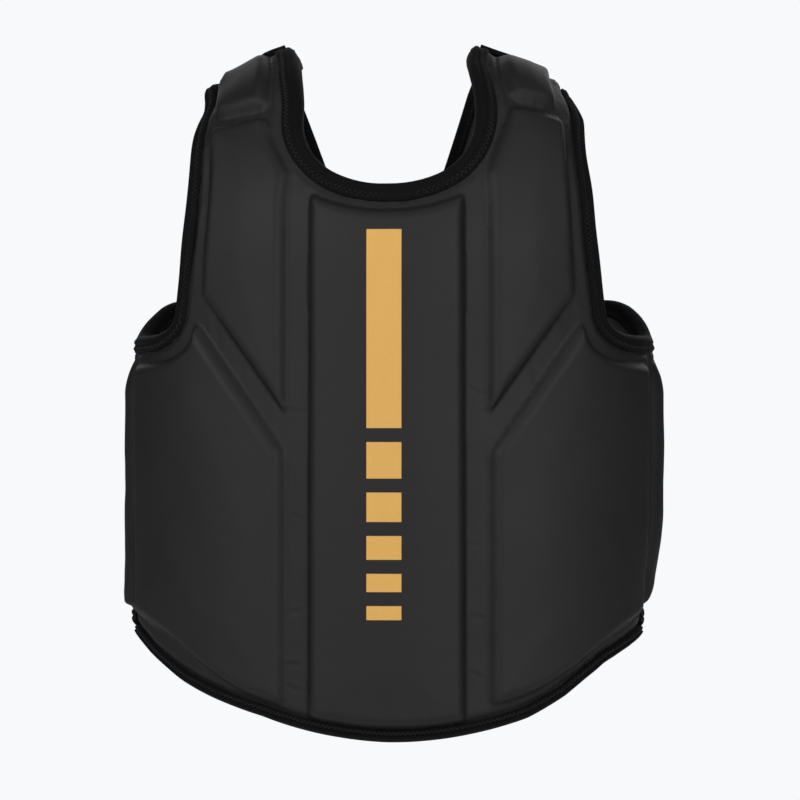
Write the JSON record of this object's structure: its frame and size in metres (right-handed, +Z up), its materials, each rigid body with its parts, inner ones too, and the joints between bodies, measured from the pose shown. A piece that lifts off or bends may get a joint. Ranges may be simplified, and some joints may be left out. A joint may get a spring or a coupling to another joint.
{
  "type": "chest protector",
  "caption": "Padded leather chest protector for martial arts and boxing, with raised foam pads, side wings, a back yoke and a hook-and-loop closure.",
  "frame": {"origin": "centre axis of the wearer's torso, at the level of the lowest point of the hem", "axes": "+X to the right of someone facing the protector, -Y out of its front, +Z up to the shoulders"},
  "size_m": [0.405, 0.235, 0.5083],
  "materials": {
    "black_leather": "satin black synthetic leather with a fine grain",
    "edge_tape": "matte black woven binding tape",
    "lining_fabric": "matte black lining cloth",
    "foam": "dark closed-cell foam",
    "elastic_webbing": "ribbed black elastic webbing",
    "closure_webbing": "black woven webbing",
    "hook_tape": "black hook tape",
    "loop_tape": "black loop tape with a short pile"
  },
  "bodies": {
    "front_panel": {"front_skin": "black_leather", "front_core_foam": "foam", "front_lining": "lining_fabric", "centre_pad_foam": "foam", "right_chest_pad_foam": "foam", "right_rib_pad_foam": "foam", "right_shoulder_pad_foam": "foam", "left_chest_pad_foam": "foam", "left_rib_pad_foam": "foam", "left_shoulder_pad_foam": "foam", "neck_binding": "edge_tape", "hem_binding": "edge_tape", "right_armhole_binding": "edge_tape", "left_armhole_binding": "edge_tape"},
    "back_yoke": {"yoke_skin": "black_leather", "yoke_foam": "foam", "yoke_lining": "lining_fabric", "yoke_binding": "edge_tape", "loop_field": "loop_tape"},
    "right_wing": {"right_wing_skin": "black_leather", "right_wing_core_foam": "foam", "right_wing_pad_foam": "foam", "right_wing_lining": "lining_fabric", "right_wing_binding": "edge_tape", "right_elastic_belt": "elastic_webbing"},
    "left_wing": {"left_wing_skin": "black_leather", "left_wing_core_foam": "foam", "left_wing_pad_foam": "foam", "left_wing_lining": "lining_fabric", "left_wing_binding": "edge_tape", "left_elastic_belt": "elastic_webbing"},
    "right_tab": {"right_closure_tab": "closure_webbing", "right_hook_patch": "hook_tape"},
    "left_tab": {"left_closure_tab": "closure_webbing", "left_hook_patch": "hook_tape"}
  },
  "joints": [
    {"name": "yoke_swing", "type": "hinge", "parent": "front_panel", "child": "back_yoke", "pos_m": [0, 0.0023, 0.455], "axis": [1, 0, 0], "range_deg": [-12, 0]},
    {"name": "right_wing_fold", "type": "hinge", "parent": "front_panel", "child": "right_wing", "pos_m": [0.1936, -0.0217, 0.18], "axis": [0, 0, -1], "range_deg": [0, 70]},
    {"name": "left_wing_fold", "type": "hinge", "parent": "front_panel", "child": "left_wing", "pos_m": [-0.1936, -0.0217, 0.18], "axis": [0, 0, 1], "range_deg": [0, 70]},
    {"name": "right_tab_peel", "type": "hinge", "parent": "right_wing", "child": "right_tab", "pos_m": [0.0448, 0.1113, 0.226], "axis": [0, 0, -1], "range_deg": [0, 90]},
    {"name": "left_tab_peel", "type": "hinge", "parent": "left_wing", "child": "left_tab", "pos_m": [-0.0448, 0.1113, 0.226], "axis": [0, 0, 1], "range_deg": [0, 90]}
  ]
}
